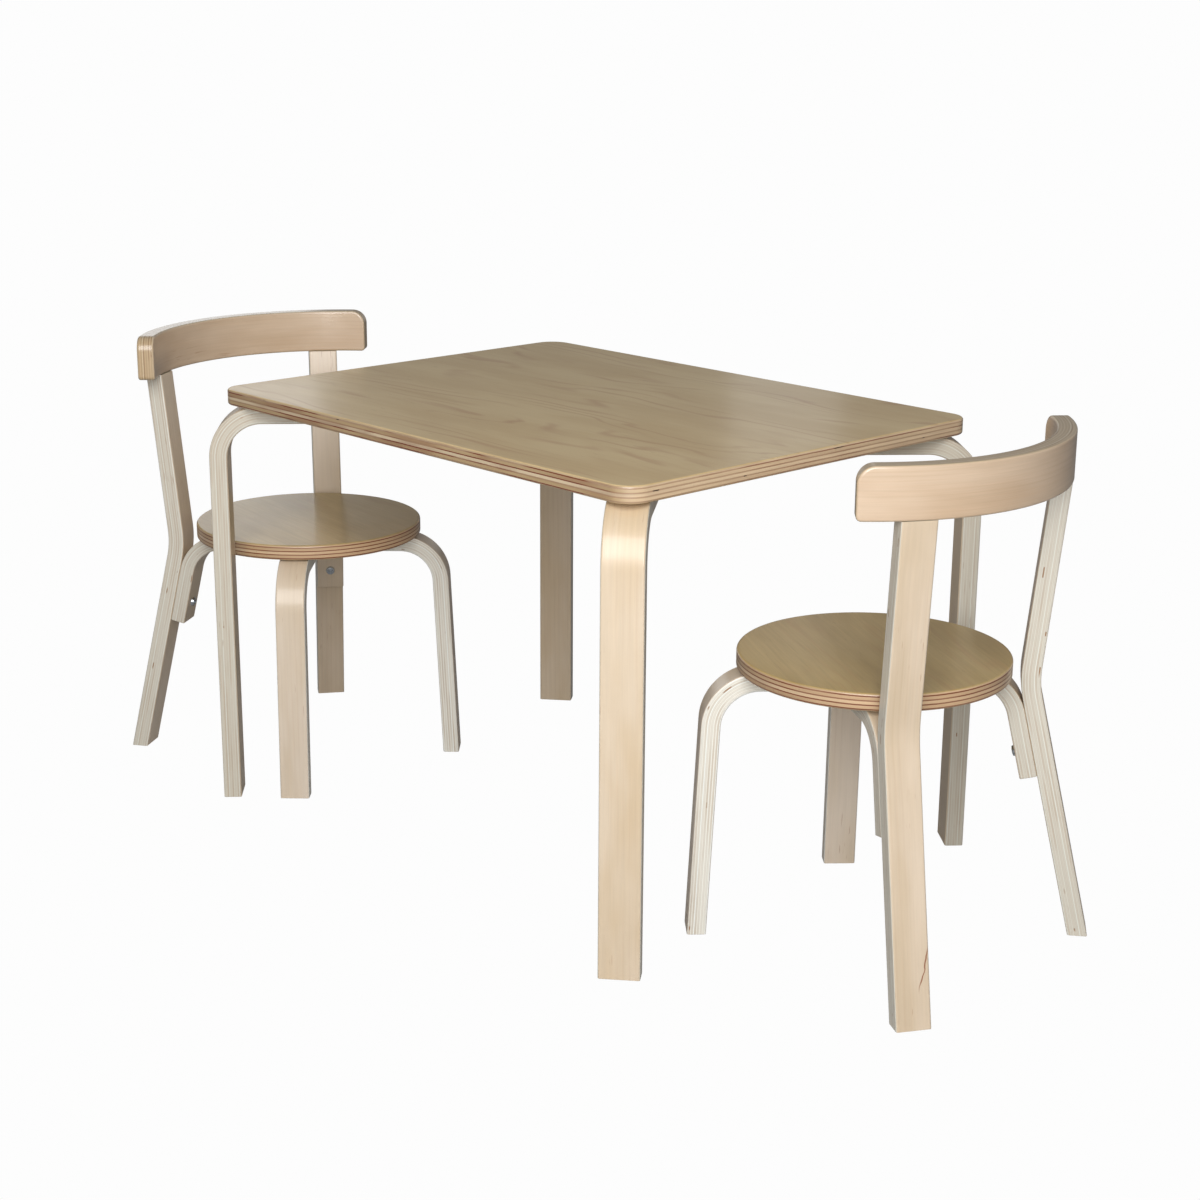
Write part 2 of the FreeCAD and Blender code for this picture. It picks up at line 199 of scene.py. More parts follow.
def easedSlab(name, outline, thickness, ease, number, toSpace, ladder=False, turn=None, grainTurn=0.0):
    # a ladder closes each face with quads between its two long edges
    grainWay = Matrix.Rotation(radians(grainTurn), 2)
    steps = easingSteps(ease)
    rings = steps + [(0.0, ease + layout["hold"], 1.0)]
    rings = rings + [(inset, thickness - drop, share) for inset, drop, share in reversed(rings)]
    positions, places, marks = [], [], []
    for inset, depth, share in rings:
        for point, outward in outline:
            spot = point - outward * inset
            positions.append(toSpace(spot.x, spot.y, depth))
            lie = grainWay @ spot
            places.append(Vector((lie.x + number * layout["grainStep"], lie.y, depth)))
            marks.append(Vector((share, share * (grainWay @ outward).x ** 2, number)))
    count = len(outline)
    faces = ringFaces(len(rings), count)
    for start in (0, (len(rings) - 1) * count):
        if ladder:
            for i in range(count // 2 - 1):
                faces.append((start + i, start + i + 1, start + count - 2 - i, start + count - 1 - i))
        else:
            faces.append(tuple(range(start, start + count)))
    return meshPiece(name, positions, places, marks, faces, turn)


def arcOutline(centre, radius, fromDegrees, toDegrees, steps):
    # points and outward normals along an arc, both ends included
    points = []
    for k in range(steps + 1):
        angle = radians(fromDegrees + (toDegrees - fromDegrees) * k / steps)
        outward = Vector((cos(angle), sin(angle)))
        points.append((centre + outward * radius, outward))
    return points


# node helpers for shaders and shapes

def put(tree, kind, inputs=None, **settings):
    node = tree.nodes.new(kind)
    for name, value in settings.items():
        setattr(node, name, value)
    for socket, value in (inputs or {}).items():
        if isinstance(value, bpy.types.NodeSocket):
            tree.links.new(value, node.inputs[socket])
        else:
            node.inputs[socket].default_value = value
    return node


def newGroup(name, kind, inputs, sizes, results):
    # inputs and results are (label, socket) pairs, and every size is a number
    tree = bpy.data.node_groups.new(name, kind)

    def addSocket(label, socket, way="INPUT"):
        return tree.interface.new_socket(label, in_out=way, socket_type=socket)

    for pair in inputs:
        addSocket(*pair)
    for label, value in sizes.items():
        addSocket(label, "NodeSocketFloat").default_value = value
    for pair in results:
        addSocket(*pair, "OUTPUT")
    return tree, tree.nodes.new("NodeGroupInput").outputs, tree.nodes.new("NodeGroupOutput").inputs


def newPattern(name, sizes, results):
    # a shader group that gives numbers for a place on the wood
    return newGroup(name, "ShaderNodeTree", [("Place", "NodeSocketVector")], sizes,
                    [(label, "NodeSocketFloat") for label in results])


def newShape(name, sizes):
    # a geometry group that sets a shape of these sizes on given points
    shape = ("Geometry", "NodeSocketGeometry")
    return newGroup(name, "GeometryNodeTree", [shape, ("Finish", "NodeSocketMaterial")], sizes, [shape])


def giveAll(tree, result, values):
    for label, value in values.items():
        tree.links.new(value, result[label])


def calc(tree, operation, *values):
    return put(tree, "ShaderNodeMath", dict(enumerate(values)), operation=operation).outputs[0]


def times(tree, product, *factors):
    for factor in factors:
        product = calc(tree, "MULTIPLY", product, factor)
    return product


def plus(tree, total, *terms):
    for term in terms:
        total = calc(tree, "ADD", total, term)
    return total


def minus(tree, first, second):
    return calc(tree, "SUBTRACT", first, second)


def opposite(tree, share):
    return minus(tree, 1.0, share)


def centred(tree, share):
    # about zero instead of about a half
    return minus(tree, share, 0.5)


def vector(tree, x=0.0, y=0.0, z=0.0):
    return put(tree, "ShaderNodeCombineXYZ", {0: x, 1: y, 2: z}).outputs[0]


def apart(tree, place):
    return put(tree, "ShaderNodeSeparateXYZ", {0: place}).outputs


def stretched(tree, place, factors):
    return put(tree, "ShaderNodeVectorMath", {0: place, 1: factors}, operation="MULTIPLY").outputs[0]


def noise(tree, place, factors, detail=2.0, roughness=0.5, distortion=0.0):
    # factors are cells per metre along the grain, across it and down through the layers
    return put(tree, "ShaderNodeTexNoise",
               {"Vector": stretched(tree, place, factors), "Scale": 1.0, "Detail": detail,
                "Roughness": roughness, "Distortion": distortion}).outputs[0]


def between(tree, value, low, high):
    # smooth step from 0 at low to 1 at high
    return put(tree, "ShaderNodeMapRange", {0: value, 1: low, 2: high, 3: 0.0, 4: 1.0},
               interpolation_type="SMOOTHSTEP").outputs[0]


def patches(tree, place, factors, low, high, detail=2.0, roughness=0.5):
    # where the noise is above low, full above high
    return between(tree, noise(tree, place, factors, detail, roughness), low, high)


def ownTone(tree, number):
    return put(tree, "ShaderNodeTexWhiteNoise", {"W": number}, noise_dimensions="1D").outputs[0]


def mixed(tree, factor, first, second, mode="MIX"):
    return put(tree, "ShaderNodeMix", {0: factor, 6: first, 7: second}, data_type="RGBA",
               blend_type=mode).outputs[2]


def shaded(tree, base, share, strength):
    # lighter where the share is over a half, darker where it is under
    level = calc(tree, "MULTIPLY_ADD", centred(tree, share), strength, 1.0)
    return mixed(tree, 1.0, base, vector(tree, level, level, level), "MULTIPLY")


def colour(hexCode):
    # linear colour of a six-figure paint code
    parts = [int(hexCode[i:i + 2], 16) / 255 for i in (0, 2, 4)]
    return tuple(p / 12.92 if p <= 0.04045 else ((p + 0.055) / 1.055) ** 2.4 for p in parts) + (1.0,)


def emptied(owner):
    owner.use_nodes = True
    owner.node_tree.nodes.clear()
    return owner.node_tree


def bumped(tree, height, strength, distance):
    return put(tree, "ShaderNodeBump",
               {"Height": height, "Strength": strength, "Distance": distance}).outputs[0]


def closeSurface(tree, inputs):
    shader = put(tree, "ShaderNodeBsdfPrincipled", inputs)
    put(tree, "ShaderNodeOutputMaterial", {0: shader.outputs[0]})


figure = {
    "acrossWander": 9.0, "wanderReach": 6.0, "wander": ((1, 1, 1), 3.0, 0.45, 0.3),
    "slant": 0.6,           # how far the lines move across for each metre down
    "line": (0.26, 0.5), "linePlaces": ((5, 28, 28), 0.38, 0.66),
    "cloud": ((4.5, 16, 16), 3.0, 0.55),
    "fine": ((22, 1300, 1300), 2.0, 0.6), "coarse": ((9, 320, 320), 2.0, 0.5), "each": 0.5,
    "fleck": ((42, 620, 620), 0.69, 0.76, 1.0), "fleckPlaces": ((6, 24, 24), 0.50, 0.62, 1.0),
}


def birchGrain():
    # figure of birch veneer: cloudy tone, growth lines, fibres and gum flecks
    tree, given, result = newPattern(
        "birchGrain", {"Lines per metre": 90.0, "Line wander": 1.5, "Wander length": 2.0},
        ("Cloud", "Lines", "Fibres", "Flecks"))
    place = given["Place"]
    along, across, down = apart(tree, place)
    slow = vector(tree, times(tree, along, given["Wander length"]),
                  times(tree, across, figure["acrossWander"]), times(tree, down, figure["acrossWander"]))
    wander = times(tree, noise(tree, slow, *figure["wander"]),
                   times(tree, given["Line wander"], figure["wanderReach"]))
    slanted = plus(tree, across, times(tree, down, figure["slant"]))
    lineAt = plus(tree, times(tree, slanted, given["Lines per metre"]), wander)
    line = between(tree, calc(tree, "PINGPONG", lineAt, 0.5), *figure["line"])
    giveAll(tree, result, {
        "Lines": times(tree, line, patches(tree, place, *figure["linePlaces"])),
        "Cloud": noise(tree, place, *figure["cloud"]),
        "Fibres": plus(tree, times(tree, noise(tree, place, *figure["fine"]), figure["each"]),
                       times(tree, noise(tree, place, *figure["coarse"]), figure["each"])),
        "Flecks": times(tree, patches(tree, place, *figure["fleck"]),
                        patches(tree, place, *figure["fleckPlaces"]))})
    return tree


layering = {
    "waver": (26, 26, 0), "waverHeight": 0.0005,
    "seam": 0.02, "glueLine": (0.015, 0.075),   # shares of the period
    "ownPlace": 5.3,        # takes each layer to its own part of the noise
    "streakCells": 8, "streak": ((1, 1, 1), 0.46, 0.62, 2.0, 0.6),
    "pitCells": 46, "pit": ((1, 1, 1), 0.68, 0.72, 1.0), "pitPlaces": ((1.7, 1.7, 1.7), 0.53, 0.57, 1.0),
    "grain": ((14, 14, 1500), 2.0, 0.6),
}


def layerEdges():
    # glued layers seen at an edge: pale and dark layers, glue lines, streaks and voids
    tree, given, result = newPattern(
        "layerEdges", {"Period": 0.0044, "First": 0.0011, "Dark share": 0.32},
        ("Dark layer", "Glue", "Tone", "Streak", "Void", "Grain"))
    place = given["Place"]
    wavy = times(tree, centred(tree, noise(tree, place, layering["waver"])), layering["waverHeight"])
    depth = plus(tree, apart(tree, place)[2], wavy, given["First"])
    level = calc(tree, "DIVIDE", depth, given["Period"])
    share = calc(tree, "FRACT", level)
    pastSplit = minus(tree, share, opposite(tree, given["Dark share"]))
    inDark = between(tree, pastSplit, -layering["seam"], layering["seam"])
    nearWhole = calc(tree, "MINIMUM", share, opposite(tree, share))
    nearest = calc(tree, "MINIMUM", calc(tree, "ABSOLUTE", pastSplit), nearWhole)
    single = plus(tree, times(tree, calc(tree, "FLOOR", level), 2.0), inDark)
    moved = vector(tree, z=times(tree, single, layering["ownPlace"]))

    def layerPlace(cells):
        flat = stretched(tree, place, (cells, cells, 0))
        return put(tree, "ShaderNodeVectorMath", {0: flat, 1: moved}).outputs[0]

    streakPlace = layerPlace(layering["streakCells"])
    pit = patches(tree, layerPlace(layering["pitCells"]), *layering["pit"])
    giveAll(tree, result, {
        "Dark layer": inDark,
        "Glue": opposite(tree, between(tree, nearest, *layering["glueLine"])),
        "Tone": ownTone(tree, single),
        "Streak": patches(tree, streakPlace, *layering["streak"]),
        "Void": times(tree, pit, patches(tree, streakPlace, *layering["pitPlaces"]), inDark),
        "Grain": noise(tree, place, *layering["grain"])})
    return tree


lacquering = {
    "handled": ((11, 11, 11), 3.0, 0.6), "handledShare": 0.10,
    "peel": ((240, 900, 900), 2.0, 0.5), "peelShare": 0.08,
    "ripple": ((18, 60, 60), 2.0, 0.5),
}


def satinLacquer():
    # how the lacquer lies: slow ripples, finer orange peel and handled patches
    tree, given, result = newPattern("satinLacquer", {"Gloss": 0.34}, ("Roughness", "Ripple"))
    place = given["Place"]
    rough = given["Gloss"]
    for name in ("handled", "peel"):
        uneven = centred(tree, noise(tree, place, *lacquering[name]))
        rough = plus(tree, rough, times(tree, uneven, lacquering[name + "Share"]))
    giveAll(tree, result, {"Roughness": rough, "Ripple": noise(tree, place, *lacquering["ripple"])})
    return tree


grainGroup = birchGrain()
edgeGroup = layerEdges()
lacquerGroup = satinLacquer()


gum = {"cells": (70, 70, 70), "wander": 0.006, "coreShare": 0.2, "fadeFrom": 0.4}


def gumStreak(tree, place, along, across, slope, reach, half):
    # one slanting mark that wanders a little and fades at both ends
    parts = apart(tree, place)
    run = minus(tree, parts[0], along)
    line = calc(tree, "MULTIPLY_ADD", run, slope, across)
    wander = times(tree, centred(tree, noise(tree, place, gum["cells"])), gum["wander"])
    off = calc(tree, "ABSOLUTE", plus(tree, minus(tree, parts[1], line), wander))
    near = opposite(tree, between(tree, off, half * gum["coreShare"], half))
    away = between(tree, calc(tree, "ABSOLUTE", run), reach * gum["fadeFrom"], reach)
    return times(tree, near, opposite(tree, away))


wood = {
    "cloud": (0.34, 0.66), "arris": (0.38, 0.62), "refraction": 1.46,
    "fibreRelief": 0.25, "voidRelief": 6.0, "glueRelief": 0.35, "reliefDepth": 0.0002,
}


def woodMaterial(name, look):
    material = bpy.data.materials.new(name)
    tree = emptied(material)
    place, cut = [put(tree, "ShaderNodeAttribute", attribute_name=attribute).outputs["Vector"]
                  for attribute in ("woodPlace", "woodCut")]
    edgeShare, endShare, number = apart(tree, cut)

    def pattern(group, sizes):
        return put(tree, "ShaderNodeGroup", dict(sizes, Place=place), node_tree=group).outputs

    def over(base, share, key):
        return mixed(tree, share, base, colour(look[key]))

    grain = pattern(grainGroup, {"Lines per metre": look["linesPerMetre"], "Line wander": look["lineWander"],
                                 "Wander length": look["wanderLength"]})
    edges = pattern(edgeGroup, {"Period": look["layerPeriod"], "First": look["layerFirst"],
                                "Dark share": look["darkShare"]})
    lacquer = pattern(lacquerGroup, {"Gloss": look["gloss"]})

    face = over(colour(look["faceLight"]), between(tree, grain["Cloud"], *wood["cloud"]), "faceDeep")
    face = over(face, times(tree, grain["Lines"], look["lineStrength"]), "lineColour")
    face = shaded(tree, face, grain["Fibres"], look["fibreStrength"])
    fleckShare = times(tree, grain["Flecks"], look["fleckStrength"])
    face = over(face, fleckShare, "fleckColour")
    if "streak" in look:
        face = over(face, gumStreak(tree, place, *look["streak"]), "streakColour")

    # cut ends are more even than long edges
    uneven = calc(tree, "MULTIPLY_ADD", endShare, -look["endEven"], 1.0)
    deeper = calc(tree, "MULTIPLY_ADD", edges["Tone"], 1.0 - look["tanLeast"], look["tanLeast"])
    side = over(colour(look["edgeLight"]), times(tree, deeper, uneven), "edgeTan")
    streaks = times(tree, edges["Streak"], uneven)
    side = over(side, times(tree, streaks, look["stain"]), "edgeDark")
    dark = calc(tree, "MULTIPLY_ADD", streaks, look["streakStrength"], look["darkStrength"])
    dark = calc(tree, "MINIMUM", times(tree, edges["Dark layer"], dark), 1.0)
    side = over(side, dark, "edgeDark")
    side = over(side, times(tree, edges["Glue"], look["glueStrength"]), "glueColour")
    side = shaded(tree, side, edges["Grain"], look["rubStrength"])
    side = over(side, calc(tree, "MAXIMUM", edges["Void"], fleckShare), "voidColour")
    side = mixed(tree, endShare, side, mixed(tree, 1.0, side, colour(look["endTint"]), "MULTIPLY"))

    shown = between(tree, calc(tree, "MAXIMUM", edgeShare, endShare), *wood["arris"])
    base = shaded(tree, mixed(tree, shown, face, side), ownTone(tree, number), look["pieceSpread"])
    relief = plus(tree, times(tree, grain["Fibres"], wood["fibreRelief"]), lacquer["Ripple"])
    for mark, depth in (("Void", wood["voidRelief"]), ("Glue", wood["glueRelief"])):
        relief = minus(tree, relief, times(tree, edges[mark], shown, depth))
    closeSurface(tree, {"Base Color": base, "Roughness": lacquer["Roughness"],
                        "Normal": bumped(tree, relief, look["bump"], wood["reliefDepth"]),
                        "Coat Weight": look["coat"], "Coat Roughness": look["coatRoughness"],
                        "IOR": wood["refraction"]})
    return material


boardLook = {
    "linesPerMetre": 34.0, "lineWander": 1.6, "wanderLength": 2.2, "lineStrength": 0.42,
    "faceLight": "d9bf8d", "faceDeep": "ceb17e", "lineColour": "a9744c",
    "fibreStrength": 0.22, "fleckStrength": 0.35, "fleckColour": "6e4a2c",
    "layerPeriod": 0.0044, "layerFirst": 0.0011, "darkShare": 0.25,
    "edgeLight": "e0d0b4", "edgeTan": "ae936c", "edgeDark": "74341e", "darkStrength": 0.40,
    "streakStrength": 1.1, "glueColour": "7a4a34", "glueStrength": 0.35, "rubStrength": 0.5,
    "endEven": 0.7, "tanLeast": 0.45, "stain": 0.38,
    "voidColour": "2e1a10", "endTint": "fff4ea", "pieceSpread": 0.05,
    "gloss": 0.38, "bump": 0.18, "coat": 0.55, "coatRoughness": 0.18,
}
bentLook = {
    "linesPerMetre": 150.0, "lineWander": 0.7, "wanderLength": 1.1, "lineStrength": 0.11,
    "faceLight": "d3c1a9", "faceDeep": "cab495", "lineColour": "b18a66",
    "fibreStrength": 0.26, "fleckStrength": 0.5, "fleckColour": "94603e",
    "layerPeriod": 0.0030, "layerFirst": 0.0, "darkShare": 0.5,
    "edgeLight": "d3d1c5", "edgeTan": "cac3b3", "edgeDark": "b59f88", "darkStrength": 0.22,
    "streakStrength": 0.35, "glueColour": "a88e70", "glueStrength": 0.40, "rubStrength": 0.22,
    "endEven": 0.0, "tanLeast": 0.0, "stain": 0.05,
    "voidColour": "9c7c60", "endTint": "cfc4b2", "pieceSpread": 0.06,
    "gloss": 0.40, "bump": 0.20, "coat": 0.5, "coatRoughness": 0.20,
}
seatLook = dict(boardLook, lineStrength=0.18, fibreStrength=0.6, faceLight="bca36f", faceDeep="ac925e",
                edgeLight="ccb494", edgeTan="ab8e6c", edgeDark="74442c", darkStrength=0.75,
                glueStrength=0.6, coat=0.4, tanLeast=0.2, stain=0.15)
paleLook = dict(bentLook, edgeLight="eeefe8", edgeTan="e6e2d6", faceLight="d9cab8", faceDeep="cebca4")
postLook = dict(paleLook, faceLight="d6c4ae", faceDeep="c9b59a", edgeLight="dad9ce", edgeTan="d0cabc")
# a gum streak by the foot: along the wood, across it, slope, half length and half width
streakedLook = dict(postLook, streak=(56.537, 0.0125, -0.25, 0.026, 0.0010), streakColour="8a5236")
backrestLook = dict(bentLook, linesPerMetre=210.0, lineStrength=0.14, faceLight="d2baa0", faceDeep="c4a88a",
                    fibreStrength=0.34, fleckStrength=0.3, edgeLight="d0c0a2", edgeTan="c0aa88",
                    edgeDark="8a6646", darkStrength=0.35, coat=0.9, coatRoughness=0.2, endTint="fff8ee")
boardBirch = woodMaterial("boardBirch", boardLook)
seatBirch = woodMaterial("seatBirch", seatLook)
bentBirch = woodMaterial("bentBirch", bentLook)
paleBirch = woodMaterial("paleBirch", paleLook)
postBirch = woodMaterial("postBirch", postLook)
streakedBirch = woodMaterial("streakedBirch", streakedLook)
backrestBirch = woodMaterial("backrestBirch", backrestLook)


zinc = {
    "mottle": ((700, 700, 700), 3.0), "turned": ((5200, 5200, 5200), 1.0), "dullRange": (0.35, 0.65),
    "duller": 0.22, "bump": 0.15, "bumpDepth": 0.00005,
}


def metalMaterial(name, look):
    # faint mottling, fine turning lines and duller patches
    material = bpy.data.materials.new(name)
    tree = emptied(material)
    place = put(tree, "ShaderNodeTexCoord").outputs["Object"]
    mottle = noise(tree, place, *zinc["mottle"])
    turned = noise(tree, place, *zinc["turned"])
    dull = between(tree, mottle, *zinc["dullRange"])
    closeSurface(tree, {"Base Color": mixed(tree, dull, colour(look["bright"]), colour(look["dull"])),
                        "Roughness": calc(tree, "MULTIPLY_ADD", mottle, zinc["duller"], look["roughness"]),
                        "Metallic": 1.0, "Normal": bumped(tree, turned, zinc["bump"], zinc["bumpDepth"])})
    return material


brightZinc = metalMaterial("brightZinc", {"bright": "d3d8dd", "dull": "aeb4ba", "roughness": 0.14})
plainZinc = metalMaterial("plainZinc", {"bright": "bdbbb4", "dull": "928f88", "roughness": 0.30})


beech = {
    "ground": "c9a27c", "ray": "9a6a45", "rays": ((900, 900, 220), 0.55, 0.68),
    "roughness": 0.6, "rougher": 0.15, "bump": 0.2, "bumpDepth": 0.0001,
}


def dowelMaterial():
    # short dark rays on a pinkish ground
    material = bpy.data.materials.new("plainBeech")
    tree = emptied(material)
    rays = patches(tree, put(tree, "ShaderNodeTexCoord").outputs["Object"], *beech["rays"])
    closeSurface(tree, {"Base Color": mixed(tree, rays, colour(beech["ground"]), colour(beech["ray"])),
                        "Roughness": calc(tree, "MULTIPLY_ADD", rays, beech["rougher"], beech["roughness"]),
                        "Normal": bumped(tree, rays, beech["bump"], beech["bumpDepth"])})
    return material


plainBeech = dowelMaterial()
print("materials ready")


def dress(piece, material, body, slot, node):
    piece.data.materials.clear()
    piece.data.materials.append(material)
    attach(piece, body)
    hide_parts(node)


# fasteners and dowels: each tree sets one shape on points that carry the way it faces

def closeShape(tree, given, result, shape):
    # stands the shape on every point, turned to the point's axis, as real faces with a finish
    axis = put(tree, "GeometryNodeInputNamedAttribute", {"Name": "axis"}, data_type="FLOAT_VECTOR").outputs[0]
    turn = put(tree, "FunctionNodeAlignRotationToVector", {"Vector": axis}, axis="Z").outputs[0]
    spread = put(tree, "GeometryNodeInstanceOnPoints",
                 {"Points": given["Geometry"], "Instance": shape, "Rotation": turn}).outputs[0]
    real = put(tree, "GeometryNodeRealizeInstances", {0: spread}).outputs[0]
    smooth = put(tree, "GeometryNodeSetShadeSmooth", {0: real, "Shade Smooth": True}).outputs[0]
    finished = put(tree, "GeometryNodeSetMaterial", {0: smooth, "Material": given["Finish"]}).outputs[0]
    tree.links.new(finished, result["Geometry"])
    return tree


def pointPlace(tree):
    return apart(tree, put(tree, "GeometryNodeInputPosition").outputs[0])


def shifted(tree, shape, z):
    return put(tree, "GeometryNodeTransform",
               {"Geometry": shape, "Translation": vector(tree, z=z)}).outputs[0]


def offsetBy(tree, shape, offset):
    return put(tree, "GeometryNodeSetPosition", {"Geometry": shape, "Offset": offset}).outputs[0]


def drawnIn(tree, shape, share):
    # takes each point towards the Z axis by a share of its distance from it
    x, y, z = pointPlace(tree)
    back = times(tree, share, -1.0)
    return offsetBy(tree, shape, vector(tree, times(tree, x, back), times(tree, y, back)))


def cylinder(tree, radius, depth, vertices, rows=1):
    return put(tree, "GeometryNodeMeshCylinder",
               {"Vertices": vertices, "Side Segments": rows, "Fill Segments": 1, "Radius": radius,
                "Depth": depth}).outputs["Mesh"]


def cutBy(tree, shape, *tools):
    cut = put(tree, "GeometryNodeMeshBoolean", {0: shape}, operation="DIFFERENCE", solver="EXACT")
    for tool in tools:
        tree.links.new(tool, cut.inputs[1])
    return cut.outputs[0]


boltSizes = {
    "Face radius": 0.0052, "Under radius": 0.006, "Head height": 0.0032, "Rise": 0.0032, "Dome": 0.0007,
    "Shank radius": 0.003, "Shank length": 0.032, "Recess width": 0.0015, "Recess reach": 0.0033,
    "Recess depth": 0.0016,
}
dowelSizes = {
    "Radius": 0.004, "Length": 0.030, "Flutes": 16.0, "Flute depth": 0.05, "Point": 0.12, "Point from": 0.86,
}
insertSizes = {
    "Radius": 0.00475, "Length": 0.011, "Bore": 0.00335, "Thread pitch": 0.0022, "Thread depth": 0.0005,
    "Bore length": 1.2,
}


def crossHeadTree():
    # head faces +Z with its outer face at Z = Rise; the shank runs down from Z = 0
    tree, given, result = newShape("crossHeadFastener", boltSizes)
    head = put(tree, "GeometryNodeMeshCone",
               {"Vertices": 40, "Side Segments": 2, "Fill Segments": 5, "Radius Top": given["Face radius"],
                "Radius Bottom": given["Under radius"], "Depth": given["Head height"]}).outputs["Mesh"]
    x, y, z = pointPlace(tree)
    across = calc(tree, "SQRT", plus(tree, times(tree, x, x), times(tree, y, y)))
    share = calc(tree, "DIVIDE", across, given["Face radius"])
    height = calc(tree, "DIVIDE", z, given["Head height"])
    drop = times(tree, share, share, height, times(tree, given["Dome"], -1.0))
    head = offsetBy(tree, head, vector(tree, z=drop))
    head = shifted(tree, head, minus(tree, given["Rise"], given["Head height"]))
    long, deep = times(tree, given["Recess reach"], 2.0), times(tree, given["Recess depth"], 2.0)
    arms = []
    for size in ((long, given["Recess width"], deep), (given["Recess width"], long, deep)):
        arm = put(tree, "GeometryNodeMeshCube", {"Size": vector(tree, *size)}).outputs["Mesh"]
        arms.append(shifted(tree, arm, given["Rise"]))
    shank = cylinder(tree, given["Shank radius"], given["Shank length"], 24)
    shank = shifted(tree, shank, times(tree, given["Shank length"], -0.5))
    whole = put(tree, "GeometryNodeJoinGeometry")
    for part in (cutBy(tree, head, *arms), shank):
        tree.links.new(part, whole.inputs[0])
    return closeShape(tree, given, result, whole.outputs[0])


def flutedDowelTree():
    # straight flutes round a rod, with its two ends drawn in
    tree, given, result = newShape("flutedDowel", dowelSizes)
    rod = cylinder(tree, given["Radius"], given["Length"], 96, 12)
    x, y, z = pointPlace(tree)
    halfTurns = times(tree, calc(tree, "ARCTAN2", y, x), 0.5, given["Flutes"])
    flute = calc(tree, "ABSOLUTE", calc(tree, "SINE", halfTurns))
    end = calc(tree, "DIVIDE", calc(tree, "ABSOLUTE", z), times(tree, given["Length"], 0.5))
    point = times(tree, between(tree, end, given["Point from"], 1.0), given["Point"])
    share = plus(tree, times(tree, flute, given["Flute depth"]), point)
    return closeShape(tree, given, result, drawnIn(tree, rod, share))


def threadedInsertTree():
    # bush with a coarse outer thread and a plain bore, its near end at Z = 0 and the rest above
    tree, given, result = newShape("threadedInsert", insertSizes)
    x, y, z = pointPlace(tree)
    turnShare = calc(tree, "DIVIDE", calc(tree, "ARCTAN2", y, x), tau)
    lift = plus(tree, calc(tree, "DIVIDE", z, given["Thread pitch"]), turnShare)
    wave = times(tree, calc(tree, "PINGPONG", lift, 0.5), 2.0)
    share = times(tree, wave, calc(tree, "DIVIDE", given["Thread depth"], given["Radius"]))
    shell = drawnIn(tree, cylinder(tree, given["Radius"], given["Length"], 32, 40), share)
    bore = cylinder(tree, given["Bore"], times(tree, given["Length"], given["Bore length"]), 32)
    bush = shifted(tree, cutBy(tree, shell, bore), times(tree, given["Length"], 0.5))
    return closeShape(tree, given, result, bush)


crossHead = crossHeadTree()
flutedDowel = flutedDowelTree()
threadedInsert = threadedInsertTree()
sharpDegrees = 35
upward = Vector((0, 0, 1))


def setOn(name, tree, sizes, spots, finish, body, slot, node):
    # one mesh of the tree's shape at every (place, axis), for one body
    mesh = bpy.data.meshes.new(name + "Points")
    mesh.from_pydata([spot for spot, axis in spots], [], [])
    facing = mesh.attributes.new("axis", "FLOAT_VECTOR", "POINT")
    for i, (spot, axis) in enumerate(spots):
        facing.data[i].vector = axis
    piece = addObject(name, mesh)
    modifier = piece.modifiers.new("setOn", "NODES")
    modifier.node_group = tree
    wanted = dict(sizes, Finish=finish)
    for item in tree.interface.items_tree:
        if item.in_out == "INPUT" and item.name in wanted:
            modifier[item.identifier] = wanted[item.name]
    evaluated = piece.evaluated_get(bpy.context.evaluated_depsgraph_get())
    made = bpy.data.meshes.new_from_object(evaluated)
    piece.modifiers.clear()
    piece.data = made
    made.name = name
    made.set_sharp_from_angle(angle=radians(sharpDegrees))
    dress(piece, finish, body, slot, node)


# the table

table = {"cornerRadius": 0.027, "edgeEase": 0.0025, "cornerSteps": 18}
tableLow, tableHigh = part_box("table_top")
tableMiddle = (tableLow + tableHigh) / 2
tableSize = tableHigh - tableLow


def makeTableTop():
    halfLength, halfWidth = tableSize.x / 2, tableSize.y / 2
    radius = table["cornerRadius"]
    outline = []
    for quarter, (signX, signY) in enumerate(((1, 1), (-1, 1), (-1, -1), (1, -1))):
        centre = Vector((signX * (halfLength - radius), signY * (halfWidth - radius)))
        outline += arcOutline(centre, radius, quarter * 90, quarter * 90 + 90, table["cornerSteps"])

    def toSpace(x, y, depth):
        return Vector((tableMiddle.x + x, tableMiddle.y + y, tableHigh.z - depth))

    top = easedSlab("tableTop", outline, tableSize.z, table["edgeEase"], 1, toSpace)
    dress(top, boardBirch, "table", "board_birch", "table_top")


tableLeg = {
    "thickness": 0.021, "width": 0.043, "ease": 0.002, "endEase": 0.0008,
    "innerBend": 0.041,
    "tail": 0.190,          # from the leg's outer face in to the tail's end
    "angle": 50.0,          # turn of the leg from the long side
    "pastEnd": 0.0045,      # outer face, out past the board's short edge
    "pastSide": 0.011,
    "firstNumber": 2,
}


def tableFoot(signX, signY):
    # the middle of a foot's outer face on the floor, and the way it faces
    slope = radians(tableLeg["angle"])
    foot = Vector((tableMiddle.x + signX * (tableSize.x / 2 + tableLeg["pastEnd"]),
                   tableMiddle.y + signY * (tableSize.y / 2 + tableLeg["pastSide"]), 0))
    return foot, Vector((signX * cos(slope), signY * sin(slope), 0))


